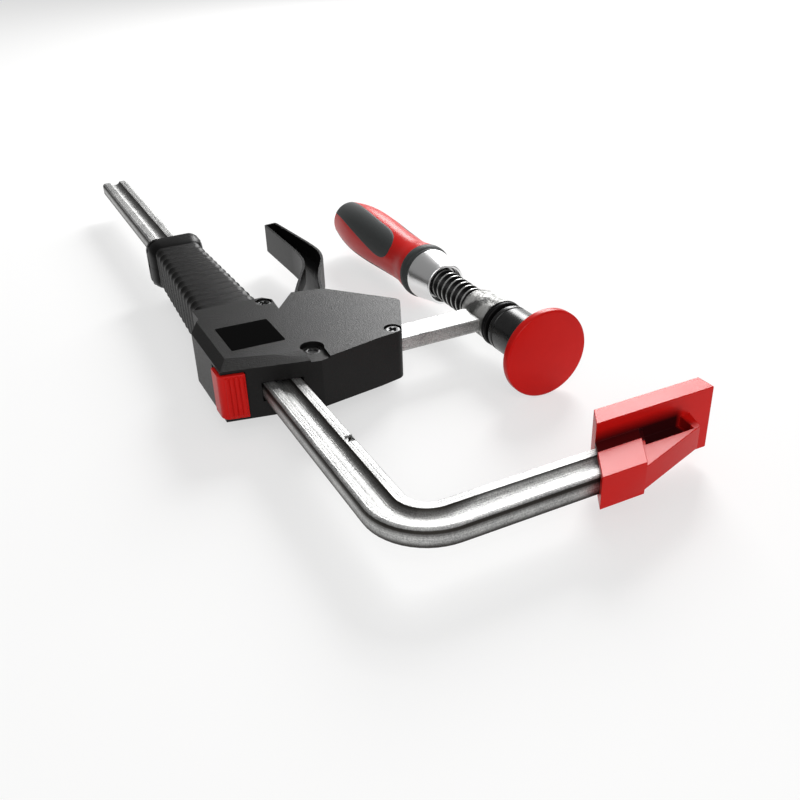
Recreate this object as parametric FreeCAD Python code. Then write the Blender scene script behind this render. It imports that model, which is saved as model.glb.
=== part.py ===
import FreeCAD, Part
import math
import os

os.makedirs("parts", exist_ok=True)
V = FreeCAD.Vector

# The clamp lies on its side: the rail runs along Y at the left, the jaws face each other along Y,
# and Z is up through the middle plane of rail and spindle. The origin is the jaw's clamping face.

# Driving sizes of the whole clamp, in mm
throat = 100.0              # spindle axis to the rail's inner face
opening = 64.0              # jaw face to pad face, as it lies
rail_reach = 411.0          # jaw face to the rail's far end
rail_width = 16.0
rail_thick = 8.0
fit_gap = 0.1               # between pieces that seat on each other
run_gap = 0.3               # between pieces that move past each other
overrun = 1.0               # how far a cutting shape passes what it cuts

# Rail bar: ridges, groove and bend
rail_corner = 1.9
rail_groove_width = 6.4
rail_groove_depth = 1.9
bend_inner_radius = 8.0
rail_x = -throat - rail_width / 2
rail_half = rail_width / 2
rail_half_thick = rail_thick / 2
stop_y = 40.0               # raised stake that stops the carriage near the bend
stop_inset = 2.4            # stake centre in from the rail's inner edge
stop_length = 3.2
stop_width = 3.0
stop_rise = 0.7
stop_dent = 1.1

# Jaw cap pushed on the bent end of the rail
jaw_plate_thick = 8.3
jaw_plate_half_height = 13.0
jaw_plate_right = 23.0
jaw_plate_left = 25.0
jaw_mouth_lean_share = 0.607     # sideways run of the slanted mouth per unit of depth
jaw_socket_depth = 28.0
jaw_socket_half_height = 6.5
jaw_socket_end = 11.0
jaw_end_lean_share = 0.63
jaw_gusset_half_height = 4.8
jaw_gusset_tip = 9.5
jaw_gusset_tip_depth = 17.0
jaw_gusset_foot = 12.5
jaw_wall = 3.0
jaw_web = 1.6
jaw_channel_width = 6.6
jaw_channel_depth = 1.2
jaw_round = 0.8
jaw_arm_inset = 2.0              # rail's end past the plate's left end, inside the socket

# Spindle, swivel pad and their places along the axis
pad_radius = 19.75
pad_cap_thick = 2.0
pad_cap_round = 0.8
pad_lip = 2.6
socket_flange_thick = 1.6
socket_neck_radius = 10.8
socket_flare_radius = 12.6
socket_length = 28.6
ball_radius = 6.5
ball_offset = 16.0               # pad face to ball centre
liner_thick = 1.7
liner_cut = 3.0
socket_mouth_share = 0.95        # mouth radius as a share of the ball's
socket_mouth_rear_radius = 7.9
neck_radius = 4.2
thrust_pin_radius = 1.6
thrust_pin_length = 8.0
thrust_pin_inset = 0.6
tilt_room = 2.4                  # between the swivel socket and the boss ring
screw_radius = 7.5
screw_fit = 0.06
boss_ring_thick = 3.0
boss_ring_radius = 10.9
boss_ring_bore_gap = 0.4
boss_ring_ease = 0.4
boss_radius = 10.4
boss_rear_radius = 8.4
boss_straight = 15.0
boss_length = 22.0
thread_shown = 29.6              # screw in view between boss and ferrule

# Handle on the spindle
ferrule_length = 17.0
ferrule_small_radius = 10.2
ferrule_big_radius = 13.0
ferrule_lip = 1.6
ferrule_cup_depth = 6.0
ferrule_wall = 1.4
ring_length = 7.0
ring_radius = 13.9
ring_ease = 1.4
handle_length = 95.0
handle_shoulder = 0.6            # handle's start below the ring beside it
handle_waist_radius = 12.0
handle_belly_radius = 13.9
handle_end_radius = 10.8
handle_tip_round = 5.0
handle_crown_radius = 2.0
tip_radius_share = 0.78
tip_length_share = 0.26
waist_share = 0.13
belly_share = 0.66
inlay_depth = 1.2
inlay_count = 3
inlay_turn = 114.0               # degrees round the handle to the first inlay
inlay_half_width = 8.2
inlay_round_length = 13.0        # length of the rounded end by the waist
inlay_start_share = 0.22
inlay_end_share = 0.965
inlay_end_width_share = 0.8
screw_in_handle = 46.0

# Sliding arm: bar, boss and the head that rides on the rail
bar_setback = 2.8                # boss front to bar front
bar_width = 14.0
bar_thick = 6.4
bar_root = 4.0                   # bar's overlap with the head
head_setback = 8.7
head_thick = 8.5
head_half_height = 8.0
head_left_reach = 18.0
head_right_reach = 24.0
head_rail_gap = 0.15

# Housing shells, split at the middle plane
housing_lead = 14.3              # housing's foremost edge ahead of the bar
housing_left_reach = 23.5
housing_width = 93.5
housing_depth = 68.5
housing_left_height = 13.2
housing_right_height = 10.8
housing_side_height = 11.4
housing_chamfer = 4.4
facet_left_inset = 7.2
facet_apex_height = 11.0         # upright front face at the foremost edge
facet_ridge_back = 8.5           # roof's edge behind the foremost edge
facet_right_share = 0.72         # where the right facet runs out, along its front face
housing_corner = 4.5
wall = 2.6
cavity_half_height = 8.4
outline_shares = [
    (0.000, 0.131), (0.4225, 0.000), (0.845, 0.102), (1.000, 0.547), (0.722, 0.956),
    (0.5615, 0.993), (0.4385, 0.774), (0.449, 0.942), (0.412, 1.000),
    (0.064, 1.000), (0.064, 0.855), (0.000, 0.722)]
recess_radius = 5.0
recess_mouth_half_width = 4.2   # where it opens to the front
recess_depth = 1.9

# Grip round the rail
grip_front_half_width = 15.2
grip_rear_half_width = 12.0
grip_front_half_height = 12.0
grip_rear_half_height = 10.4
grip_corner = 5.5
grip_length = 102.0
grip_skew = 1.3                  # grip centre outside the rail centre at the front
rib_count = 13
rib_share = 0.5
rib_depth = 0.6
rib_margin = 7.0
collar_length = 12.5
collar_half_width = 14.6
collar_half_height = 13.0
collar_corner = 6.0
collar_edge_round = 1.5

# Lever and its pin
lever_half_height = 7.6
lever_web_half = 3.0
lever_rim = 2.0
eye_radius = 5.0
pin_radius = 2.5
pin_fit = 0.05
pin_half_length = 10.4
pivot_reach = 14.5               # rail centre to lever pivot, on the outer side
nose_radius = 2.2
nose_rise = 5.5
lever_front_gap = 0.5
cheek_gap = 0.4
lever_span = 75.5                # pivot to the lever's outermost point, across
lever_length = 139.5             # pivot to the lever's tip, along
lever_outer_shares = [
    (0.510, -0.032), (0.600, 0.030), (0.775, 0.204), (0.809, 0.254), (0.900, 0.400)]
lever_bend_outer_shares = [(1.045, 0.545), (1.057, 0.605), (1.058, 0.665)]
lever_tip_shares = [(1.000, 0.990), (0.985, 1.000), (0.905, 0.995), (0.895, 0.985)]
lever_bend_inner_shares = [(0.905, 0.640), (0.895, 0.590), (0.850, 0.500)]
lever_inner_shares = [(0.645, 0.298), (0.570, 0.226), (0.530, 0.125), (0.480, 0.018), (0.390, -0.007)]
window_right_reach = 12.0
window_half_length = 10.0

# Drive plates and their spring
drive_plate_thick = 2.4
drive_plate_count = 2
drive_plate_gap = 0.3
drive_plate_half_width = 15.0
drive_plate_half_height = 7.8
plate_slot_gap = 0.3
drive_travel = 3.6
spring_wire = 1.0
spring_gap = 0.2
drive_spring_turns = 5
chamber_gap = 0.3
chamber_depth = 21.0

# Brake plate, its anchor and spring, and the release button
brake_thick = 3.0
brake_left_reach = 20.0
brake_right_reach = 18.4
brake_half_height = 7.8
brake_tilt = 4.0                 # degrees off square when it bites
brake_slot_gap = 0.6
anchor_radius = 3.4
anchor_lead = 4.2                # anchor axis ahead of the bar front
anchor_reach = 16.0
anchor_half_length = 9.7
brake_spring_radius = 2.5
brake_spring_wire = 0.7
brake_spring_turns = 4
brake_spring_reach = 13.5
brake_spring_pocket = 4.6
button_travel = 2.4
button_half_height = 9.8
button_skin = 2.4
button_proud = 1.3
button_front_width = 9.2
button_side_length = 9.0
button_stem_width = 5.0
button_stem_half_height = 6.0
button_corner = 3.0
button_rib_count = 4
button_rib_radius = 0.7

# Screws that hold the shells together
shell_screw_radius = 1.5
shell_screw_head_radius = 3.3
shell_screw_head = 1.8
shell_screw_grip = 7.0
shell_screw_recess = 3.8
shell_screw_sink = 0.6
front_screw_inset = 2.4
front_screw_lead = 3.3
rear_screw_reach = 14.0
rear_screw_inset = 5.0

# Places along the spindle axis
ball_y = opening + ball_offset
socket_front = opening + pad_cap_thick
socket_rear = socket_front + socket_length
ring_front = socket_rear + tilt_room
boss_front = ring_front + boss_ring_thick
boss_rear = boss_front + boss_length
ferrule_front = boss_rear + thread_shown
ring_start = ferrule_front + ferrule_length
handle_start = ring_start + ring_length
handle_end = handle_start + handle_length
screw_front = ring_front + fit_gap
screw_end = handle_start + screw_in_handle

# Places of the arm, the housing and the mechanism along the rail
bar_front = boss_front + bar_setback
bar_rear = bar_front + bar_width
head_front = bar_front + head_setback
head_rear = head_front + head_thick
housing_front = bar_front - housing_lead
housing_left = rail_x - housing_left_reach
housing_right = housing_left + housing_width
housing_rear = housing_front + housing_depth
grip_front = housing_rear - grip_corner - grip_corner
grip_end = grip_front + grip_length
collar_end = grip_end + collar_length
rail_arm_end = -jaw_plate_left - jaw_arm_inset
pivot_x = rail_x - pivot_reach
pivot_y = head_rear + lever_front_gap + eye_radius
plates_front = pivot_y + nose_rise + run_gap
plates_rear = plates_front + drive_plate_count * drive_plate_thick + (drive_plate_count - 1) * drive_plate_gap
chamber_end = plates_rear + chamber_depth
spring_mean_radius = math.hypot(rail_half, rail_half_thick) + fit_gap + spring_wire / 2
chamber_radius = spring_mean_radius + spring_wire / 2 + chamber_gap
anchor_x = rail_x + anchor_reach
anchor_y = bar_front - anchor_lead
hinge_y = anchor_y + anchor_radius + fit_gap
brake_lean = math.sin(math.radians(brake_tilt))
brake_spring_front = hinge_y + brake_thick - (anchor_reach + brake_spring_reach) * brake_lean + run_gap
cavity_left = housing_left + wall
cavity_front = anchor_y
lever_swing_left = anchor_x + anchor_radius - fit_gap


def box(x0, x1, y0, y1, z0, z1):
    return Part.makeBox(x1 - x0, y1 - y0, z1 - z0, V(x0, y0, z0))


def prism(points, z0, z1):
    corners = [V(x, y, z0) for x, y in points]
    return Part.Face(Part.makePolygon(corners + corners[:1])).extrude(V(0, 0, z1 - z0))


def bar_y(radius, y0, y1, x=0.0, z=0.0):
    return Part.makeCylinder(radius, y1 - y0, V(x, y0, z), V(0, 1, 0))


def bar_z(radius, x, y, z0, z1):
    return Part.makeCylinder(radius, z1 - z0, V(x, y, z0))


def turned(profile):
    # A profile of (place along Y, radius) spun round the spindle axis
    corners = [V(radius, y, 0) for y, radius in profile]
    wire = Part.makePolygon(corners + corners[:1])
    return Part.Face(wire).revolve(V(0, 0, 0), V(0, 1, 0), 360)


def fused(shapes):
    whole = shapes[0].multiFuse(shapes[1:])
    return whole.removeSplitter()


def rounded(shape, radius, chosen):
    return shape.makeFillet(radius, [edge for edge in shape.Edges if chosen(edge)])


def along_z(edge):
    a, b = edge.Vertexes[0].Point, edge.Vertexes[-1].Point
    return math.hypot(a.x - b.x, a.y - b.y) < fit_gap < abs(a.z - b.z)


def vertical_at(x, y):
    # Picks the upright edges that stand at one corner of an outline
    def chosen(edge):
        middle = edge.CenterOfMass
        return along_z(edge) and math.hypot(middle.x - x, middle.y - y) < fit_gap
    return chosen


def save(name, shape):
    shape.exportStep("parts/" + name + ".step")
    print(name, len(shape.Solids), shape.isValid(), round(shape.Volume, 1))


# Rail bar

def rail_profile(place):
    # Section across (u) and through (w): two flat ridges with a hollow groove between, on both broad faces
    a, b, c = rail_half, rail_half_thick, rail_corner
    g, d = rail_groove_width / 2, rail_groove_depth
    bend = c - c / math.sqrt(2)
    edges = []

    def line(u0, w0, u1, w1):
        edges.append(Part.LineSegment(place(u0, w0), place(u1, w1)).toShape())

    def arc(u0, w0, u1, w1, u2, w2):
        edges.append(Part.Arc(place(u0, w0), place(u1, w1), place(u2, w2)).toShape())

    for side in (1, -1):
        line(side * (c - a), side * b, -side * g, side * b)
        arc(-side * g, side * b, 0, side * (b - d), side * g, side * b)
        line(side * g, side * b, side * (a - c), side * b)
        arc(side * (a - c), side * b, side * (a - bend), side * (b - bend), side * a, side * (b - c))
        line(side * a, side * (b - c), side * a, side * (c - b))
        arc(side * a, side * (c - b), side * (a - bend), side * (bend - b), side * (a - c), -side * b)
    return Part.Face(Part.Wire(edges))


def make_rail():
    bend_x = -throat + bend_inner_radius
    arm_inner = -jaw_plate_thick - fit_gap
    bend_y = arm_inner + bend_inner_radius
    section = rail_profile(lambda u, w: V(rail_x + u, bend_y, w))
    leg = section.extrude(V(0, rail_reach - bend_y, 0))
    bend = section.revolve(V(bend_x, bend_y, 0), V(0, 0, 1), 90)
    foot = rail_profile(lambda u, w: V(bend_x, arm_inner - rail_half - u, w))
    arm = foot.extrude(V(rail_arm_end - bend_x, 0, 0))
    bar = fused([leg, bend, arm])
    ridge_x = rail_x + rail_half - stop_inset
    left, right = ridge_x - stop_width / 2, ridge_x + stop_width / 2
    dent = prism([(left, stop_y - stop_length), (right, stop_y - stop_length),
                  (right, stop_y), (ridge_x, stop_y)],
                 rail_half_thick - stop_dent, rail_half_thick + overrun)
    stake = prism([(left, stop_y), (right, stop_y), (ridge_x, stop_y + stop_length / 2)],
                  rail_half_thick - stop_rise, rail_half_thick + stop_rise)
    return fused([bar.cut(dent), stake])


# Jaw cap

def mouth_x(depth):
    return -jaw_plate_left - jaw_mouth_lean_share * depth


def socket_end_x(depth):
    return -jaw_socket_end - jaw_end_lean_share * (depth - jaw_plate_thick)


def make_jaw_cap():
    back = jaw_plate_thick
    plate = prism([(mouth_x(0), 0), (jaw_plate_right, 0), (jaw_plate_right, -back), (mouth_x(back), -back)],
                  -jaw_plate_half_height, jaw_plate_half_height)
    plate = rounded(plate, jaw_round, lambda edge: edge.BoundBox.XMin > jaw_plate_right - fit_gap)
    deep = jaw_socket_depth
    socket = prism([(mouth_x(back), -back), (socket_end_x(back), -back), (socket_end_x(deep), -deep),
                    (mouth_x(deep), -deep)], -jaw_socket_half_height, jaw_socket_half_height)
    gusset = prism([(socket_end_x(back) - jaw_wall, -back), (jaw_gusset_foot, -back),
                    (jaw_gusset_tip, -jaw_gusset_tip_depth), (socket_end_x(deep), -deep),
                    (socket_end_x(deep) - jaw_wall, -deep + jaw_wall)],
                   -jaw_gusset_half_height, jaw_gusset_half_height)
    cap = fused([plate, socket, gusset])
    pocket_back = jaw_gusset_tip_depth + fit_gap
    for side in (1, -1):
        low, high = sorted((side * jaw_web / 2, side * (jaw_gusset_half_height + overrun)))
        cap = cap.cut(prism([(socket_end_x(back) + jaw_web, -back), (jaw_gusset_tip - jaw_web, -back),
                             (jaw_gusset_tip - jaw_wall, -pocket_back),
                             (socket_end_x(pocket_back) + jaw_web, -pocket_back)], low, high))
        low, high = sorted((side * (jaw_socket_half_height - jaw_channel_depth),
                            side * (jaw_socket_half_height + overrun)))
        channel_back = back + jaw_channel_width
        cap = cap.cut(prism([(mouth_x(channel_back) - jaw_wall, -back), (socket_end_x(back) + overrun, -back),
                             (socket_end_x(back) + overrun, -channel_back),
                             (mouth_x(channel_back) - jaw_wall, -channel_back)], low, high))
    bore = box(mouth_x(deep) - overrun, rail_arm_end + fit_gap,
               -back - rail_width - fit_gap - fit_gap, -back,
               -rail_half_thick - fit_gap, rail_half_thick + fit_gap)
    return cap.cut(bore)


# Housing shells with the grip

def outline_point(share):
    return (housing_left + share[0] * housing_width, housing_front + share[1] * housing_depth)


def grip_section(y, half_width, half_height, centre_x, inset=0.0):
    a, b, r = half_width - inset, half_height - inset, grip_corner
    k = r - r / math.sqrt(2)

    def at(u, w):
        return V(centre_x + u, y, w)

    edges = []
    for u, w, turn in ((1, 1, 0), (1, -1, 1), (-1, -1, 0), (-1, 1, 1)):
        corner = [at(u * (a - r), w * b), at(u * (a - k), w * (b - k)), at(u * a, w * (b - r))]
        if turn:
            corner.reverse()
        edges.append(corner)
    loop = []
    for index, corner in enumerate(edges):
        loop.append(Part.Arc(corner[0], corner[1], corner[2]).toShape())
        following = edges[(index + 1) % len(edges)]
        loop.append(Part.LineSegment(corner[2], following[0]).toShape())
    return Part.Wire(loop)


def grip_body(inset):
    front = grip_section(grip_front, grip_front_half_width, grip_front_half_height, rail_x - grip_skew, inset)
    rear = grip_section(grip_end, grip_rear_half_width, grip_rear_half_height, rail_x, inset)
    return Part.makeLoft([front, rear], True, True)


def make_housing():
    # The whole outside of both shells, before it is hollowed and split
    plan = [outline_point(share) for share in outline_shares]
    block = prism(plan, -housing_left_height, housing_left_height)
    for index, radius in ((2, housing_corner), (3, housing_corner)):
        block = rounded(block, radius, vertical_at(*outline_point(outline_shares[index])))
    left, right = housing_left, housing_right
    roof = [(left, -housing_side_height), (left, housing_side_height),
            (left + housing_chamfer, housing_left_height), (right, housing_right_height),
            (right, -housing_right_height), (left + housing_chamfer, -housing_left_height)]
    corners = [V(x, housing_front - overrun, z) for x, z in roof]
    section = Part.Face(Part.makePolygon(corners + corners[:1]))
    block = block.common(section.extrude(V(0, housing_depth + overrun + overrun, 0)))
    for side in (1, -1):
        for waste in front_facets(side):
            block = block.cut(waste)
    return block


def front_facets(side):
    # The slanted facets above the two front faces: widest at the left, gone at the right end
    left = outline_point(outline_shares[0])
    apex = outline_point(outline_shares[1])
    right = outline_point(outline_shares[2])
    end_x = apex[0] + facet_right_share * (right[0] - apex[0])
    end_y = apex[1] + facet_right_share * (right[1] - apex[1])
    low_left = V(left[0], left[1], side * housing_side_height)
    low_apex = V(apex[0], apex[1], side * facet_apex_height)
    low_right = V(end_x, end_y, side * roof_height(end_x))
    high_left = V(left[0] + housing_chamfer, left[1] + facet_left_inset, side * housing_left_height)
    high_apex = V(apex[0], apex[1] + facet_ridge_back, side * roof_height(apex[0]))
    wastes = []
    for low, far, high in ((low_left, low_apex, high_left), (low_apex, low_right, high_apex)):
        normal = (far - low).cross(high - low)
        if normal.z * side < 0:
            normal = normal * -1
        normal.normalize()
        reach = housing_width + housing_depth
        waste = Part.makeBox(reach + reach, reach + reach, reach, V(-reach, -reach, 0))
        place = FreeCAD.Placement(low, FreeCAD.Rotation(V(0, 0, 1), normal))
        waste.Placement = place.multiply(waste.Placement)
        wastes.append(waste)
    return wastes


def make_grip():
    outer = grip_body(0.0)
    across = grip_front_half_width + grip_skew + overrun
    up = grip_front_half_height + overrun
    pitch = (grip_length - rib_margin - rib_margin) / rib_count
    land = (grip_front, grip_front + rib_margin - pitch * rib_share)
    spans = [land]
    for index in range(rib_count):
        start = grip_front + rib_margin + index * pitch
        spans.append((start, start + pitch * rib_share))
    bands = [box(rail_x - across, rail_x + across, y0, y1, -up, up) for y0, y1 in spans]
    ridges = outer.common(Part.makeCompound(bands))
    collar = box(rail_x - collar_half_width, rail_x + collar_half_width, grip_end, collar_end,
                 -collar_half_height, collar_half_height)
    collar = rounded(collar, collar_corner, lambda edge: abs(edge.Length - collar_length) < fit_gap)
    collar = rounded(collar, collar_edge_round, lambda edge: edge.BoundBox.YMin > collar_end - fit_gap)
    return fused([grip_body(rib_depth), collar] + ridges.Solids)


def mechanism_space():
    h = cavity_half_height
    lever_right = pivot_x + lever_outer_shares[0][0] * lever_span + overrun
    slot = [(cavity_left, head_front - fit_gap), (lever_right, head_front - fit_gap),
            (lever_right, head_rear + fit_gap)]
    for share in lever_outer_shares[1:]:
        slot.append((pivot_x + share[0] * lever_span + overrun, pivot_y + share[1] * lever_length))
    slot.append((lever_swing_left, pivot_y + lever_outer_shares[-1][1] * lever_length))
    plates_left = rail_x - drive_plate_half_width - run_gap
    slot.append((lever_swing_left, plates_rear + drive_travel + run_gap))
    slot.append((plates_left, plates_rear + drive_travel + run_gap))
    slot.append((plates_left, plates_front))
    slot.append((cavity_left, plates_front))
    spaces = [prism(slot, -h, h)]
    spaces.append(box(cavity_left, anchor_x + anchor_radius + run_gap, cavity_front, head_front, -h, h))
    spaces.append(bar_y(chamber_radius, plates_rear, chamber_end, rail_x))
    spaces.append(box(rail_x - rail_half - run_gap, rail_x + rail_half + run_gap,
                      housing_front - overrun, collar_end + overrun,
                      -rail_half_thick - run_gap, rail_half_thick + run_gap))
    spaces.append(box(anchor_x, housing_right + overrun, bar_front - fit_gap, bar_rear + fit_gap,
                      -bar_thick / 2 - fit_gap, bar_thick / 2 + fit_gap))
    spaces.append(box(rail_x - head_left_reach - fit_gap, rail_x + head_right_reach + fit_gap,
                      head_front - fit_gap, head_rear + fit_gap, -h, h))
    spaces.append(bar_z(pin_radius, pivot_x, pivot_y, -pin_half_length, pin_half_length))
    spaces.append(bar_z(anchor_radius, anchor_x, anchor_y, -anchor_half_length, anchor_top()))
    spaces.append(button_space())
    return spaces


def screw_places():
    front = (outline_point(outline_shares[2])[0] - front_screw_inset, bar_front - front_screw_lead)
    rear = (rail_x + rear_screw_reach, housing_rear - rear_screw_inset)
    return [front, rear]


def roof_height(x):
    share = (x - housing_left - housing_chamfer) / (housing_width - housing_chamfer)
    return housing_left_height + share * (housing_right_height - housing_left_height)


def anchor_top():
    return roof_height(anchor_x) - recess_depth


def make_shells():
    boss_x, boss_y = screw_places()[1]
    boss = bar_z(housing_corner, boss_x, boss_y, -grip_front_half_height, grip_front_half_height)
    whole = fused([make_housing(), make_grip(), boss])
    for space in mechanism_space():
        whole = whole.cut(space)
    halves = []
    far = rail_reach
    for side in (1, -1):
        half_space = box(-far, far, 0, far, 0, far) if side > 0 else box(-far, far, 0, far, -far, 0)
        half = whole.common(half_space)
        for x, y in screw_places():
            top = roof_height(x)
            seat = top - shell_screw_sink - shell_screw_head
            if side > 0:
                half = half.cut(bar_z(shell_screw_recess, x, y, seat, housing_left_height))
            half = half.cut(bar_z(shell_screw_radius + fit_gap, x, y, -shell_screw_grip, seat + fit_gap))
        if side > 0:
            half = half.cut(bar_z(recess_radius, anchor_x, anchor_y, anchor_top(), housing_left_height))
            half = half.cut(box(anchor_x - recess_mouth_half_width, anchor_x + recess_mouth_half_width,
                                housing_front - overrun, anchor_y, anchor_top(), housing_left_height))
        halves.append(half)
    return halves


# Sliding arm

def make_sliding_arm():
    boss = turned([(boss_front, 0), (boss_front, boss_radius), (boss_front + boss_straight, boss_radius),
                   (boss_rear, boss_rear_radius), (boss_rear, 0)])
    bar = box(rail_x + head_right_reach - bar_root, 0, bar_front, bar_rear, -bar_thick / 2, bar_thick / 2)
    head = box(rail_x - head_left_reach, rail_x + head_right_reach, head_front, head_rear,
               -head_half_height, head_half_height)
    head = rounded(head, rail_corner, along_z)
    arm = fused([boss, bar, head])
    arm = arm.cut(bar_y(screw_radius + screw_fit, boss_front - overrun, boss_rear + overrun))
    arm = arm.cut(box(rail_x - rail_half - head_rail_gap, rail_x + rail_half + head_rail_gap,
                      head_front - overrun, head_rear + overrun,
                      -rail_half_thick - head_rail_gap, rail_half_thick + head_rail_gap))
    pocket = bar_y(brake_spring_radius + brake_spring_wire + fit_gap, head_front - overrun,
                   head_front + brake_spring_pocket, rail_x - brake_spring_reach)
    return arm.cut(pocket)


# Lever

def lever_point(share):
    return (pivot_x + share[0] * lever_span, pivot_y + share[1] * lever_length)


def lever_outline():
    shares = lever_outer_shares + lever_bend_outer_shares + lever_tip_shares
    shares += lever_bend_inner_shares + lever_inner_shares
    points = [(pivot_x, pivot_y - eye_radius)] + [lever_point(share) for share in shares]
    points += [(rail_x + nose_radius, pivot_y + nose_rise - nose_radius),
               (rail_x - nose_radius, pivot_y + nose_rise - nose_radius), (pivot_x, pivot_y + eye_radius)]
    return points


def lever_pocket_outline():
    # The recess between the raised rims, from inside the housing to near the tip
    outer = [lever_point(share) for share in lever_outer_shares[1:] + lever_bend_outer_shares]
    inner = [lever_point(share) for share in lever_bend_inner_shares + lever_inner_shares[:3]]
    right, left = lever_point(lever_tip_shares[1]), lever_point(lever_tip_shares[2])
    points = [(x - lever_rim, y) for x, y in outer]
    points += [(right[0] - lever_rim, right[1] - lever_rim), (left[0] + lever_rim, left[1] - lever_rim)]
    return points + [(x + lever_rim, y) for x, y in inner]


def make_lever():
    h = lever_half_height
    body = prism(lever_outline(), -h, h)
    eye = bar_z(eye_radius, pivot_x, pivot_y, -h, h)
    nose = bar_z(nose_radius, rail_x, pivot_y + nose_rise - nose_radius, -h, h)
    lever = fused([body, eye, nose])
    for side in (1, -1):
        low, high = sorted((side * lever_web_half, side * (h + overrun)))
        lever = lever.cut(prism(lever_pocket_outline(), low, high))
    window = box(pivot_x + eye_radius, rail_x + window_right_reach, pivot_y - window_half_length,
                 pivot_y + window_half_length, -rail_half_thick - cheek_gap, rail_half_thick + cheek_gap)
    lever = lever.cut(window)
    return lever.cut(bar_z(pin_radius + pin_fit, pivot_x, pivot_y, -h - overrun, h + overrun))


# Plates on the rail

def rail_slot(y0, y1, gap):
    return box(rail_x - rail_half - gap, rail_x + rail_half + gap, y0 - overrun, y1 + overrun,
               -rail_half_thick - gap, rail_half_thick + gap)


def make_drive_plates():
    plates = []
    for index in range(drive_plate_count):
        y = plates_front + index * (drive_plate_thick + drive_plate_gap)
        plate = box(rail_x - drive_plate_half_width, rail_x + drive_plate_half_width,
                    y, y + drive_plate_thick, -drive_plate_half_height, drive_plate_half_height)
        plate = rounded(plate, rail_corner, lambda edge: abs(edge.Length - drive_plate_thick) < fit_gap)
        plates.append(plate.cut(rail_slot(y, y + drive_plate_thick, plate_slot_gap)))
    return Part.makeCompound(plates)


def make_brake_plate():
    plate = box(rail_x - brake_left_reach, rail_x + brake_right_reach, hinge_y, hinge_y + brake_thick,
                -brake_half_height, brake_half_height)
    plate = rounded(plate, rail_corner, lambda edge: abs(edge.Length - brake_thick) < fit_gap)
    plate = plate.cut(rail_slot(hinge_y, hinge_y + brake_thick, brake_slot_gap))
    plate.rotate(V(anchor_x, anchor_y, 0), V(0, 0, 1), brake_tilt)
    return plate


# Springs

def make_spring(mean_radius, wire, turns, y0, y1, x):
    # One unbroken wire wound round an axis along Y
    length = y1 - y0 - wire
    helix = Part.makeHelix(length / turns, length, mean_radius)
    start = Part.Wire(Part.makeCircle(wire / 2, V(mean_radius, 0, 0), V(0, 1, 0)))
    coil = Part.Wire(helix).makePipeShell([start], True, True)
    coil.rotate(V(0, 0, 0), V(1, 0, 0), -90)
    coil.translate(V(x, y0 + wire / 2, 0))
    return coil


# Release button

def button_front_y(x):
    first, second = outline_point(outline_shares[0]), outline_point(outline_shares[1])
    return first[1] + (x - first[0]) * (second[1] - first[1]) / (second[0] - first[0])


def button_shape(grow, travel):
    left = housing_left - button_proud - grow
    right = housing_left + button_front_width + grow
    side_end = button_front_y(housing_left) + button_side_length + grow + travel
    front = button_proud + grow
    h = button_half_height + grow
    skin = button_skin + grow
    outer = [(left, button_front_y(left) - front), (right, button_front_y(right) - front),
             (right, button_front_y(right) - front + skin + travel + grow),
             (left + skin + grow, button_front_y(left) - front + skin + travel + grow),
             (left + skin + grow, side_end), (left, side_end)]
    return prism(outer, -h, h)


def stem_box(grow, travel):
    right = housing_left + button_front_width - button_skin + grow
    y0 = button_front_y(right) - button_proud + button_skin / 2
    plate_y = hinge_y - (anchor_reach + brake_left_reach) * brake_lean - run_gap
    return box(right - button_stem_width - grow, right + grow, y0, plate_y + grow + travel,
               -button_stem_half_height - grow, button_stem_half_height + grow)


def button_space():
    return fused([button_shape(run_gap, button_travel), stem_box(run_gap, button_travel)])


def make_button():
    button = button_shape(0.0, 0.0)
    corner = (housing_left - button_proud, button_front_y(housing_left - button_proud) - button_proud)
    button = rounded(button, button_corner, vertical_at(*corner))
    pieces = [button, stem_box(0.0, 0.0)]
    start = housing_left + button_corner
    pitch = (button_front_width - button_corner) / button_rib_count
    for index in range(button_rib_count):
        x = start + index * pitch + pitch / 2
        pieces.append(bar_z(button_rib_radius, x, button_front_y(x) - button_proud,
                            -button_half_height + button_rib_radius, button_half_height - button_rib_radius))
    return fused(pieces)


# Screws, pins and rings

def make_shell_screws():
    screws = []
    for x, y in screw_places():
        seat = roof_height(x) - shell_screw_sink - shell_screw_head
        head = bar_z(shell_screw_head_radius, x, y, seat, seat + shell_screw_head)
        shank = bar_z(shell_screw_radius, x, y, -shell_screw_grip, seat)
        screws.append(fused([head, shank]))
    return Part.makeCompound(screws)


def make_boss_ring():
    bore = screw_radius + boss_ring_bore_gap
    return turned([(ring_front, bore), (ring_front, boss_ring_radius - boss_ring_ease),
                   (ring_front + boss_ring_ease, boss_ring_radius), (boss_front, boss_ring_radius),
                   (boss_front, bore)])


# Spindle, handle and swivel pad

def make_spindle():
    screw = bar_y(screw_radius, screw_front, screw_end)
    neck = bar_y(neck_radius, ball_y, screw_front + overrun)
    ball = Part.makeSphere(ball_radius, V(0, ball_y, 0))
    spindle = fused([screw, neck, ball])
    pin_start = ball_y - ball_radius + thrust_pin_inset
    return spindle.cut(bar_y(thrust_pin_radius + pin_fit, pin_start - ball_radius,
                             pin_start + thrust_pin_length + fit_gap))


def make_thrust_pin():
    start = ball_y - ball_radius + thrust_pin_inset
    return bar_y(thrust_pin_radius, start, start + thrust_pin_length)


def make_liner():
    inner = ball_radius + run_gap
    shell = Part.makeSphere(inner + liner_thick, V(0, ball_y, 0)).cut(Part.makeSphere(inner, V(0, ball_y, 0)))
    return shell.cut(bar_y(pad_radius, ball_y + liner_cut, ball_y + pad_radius))


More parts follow.
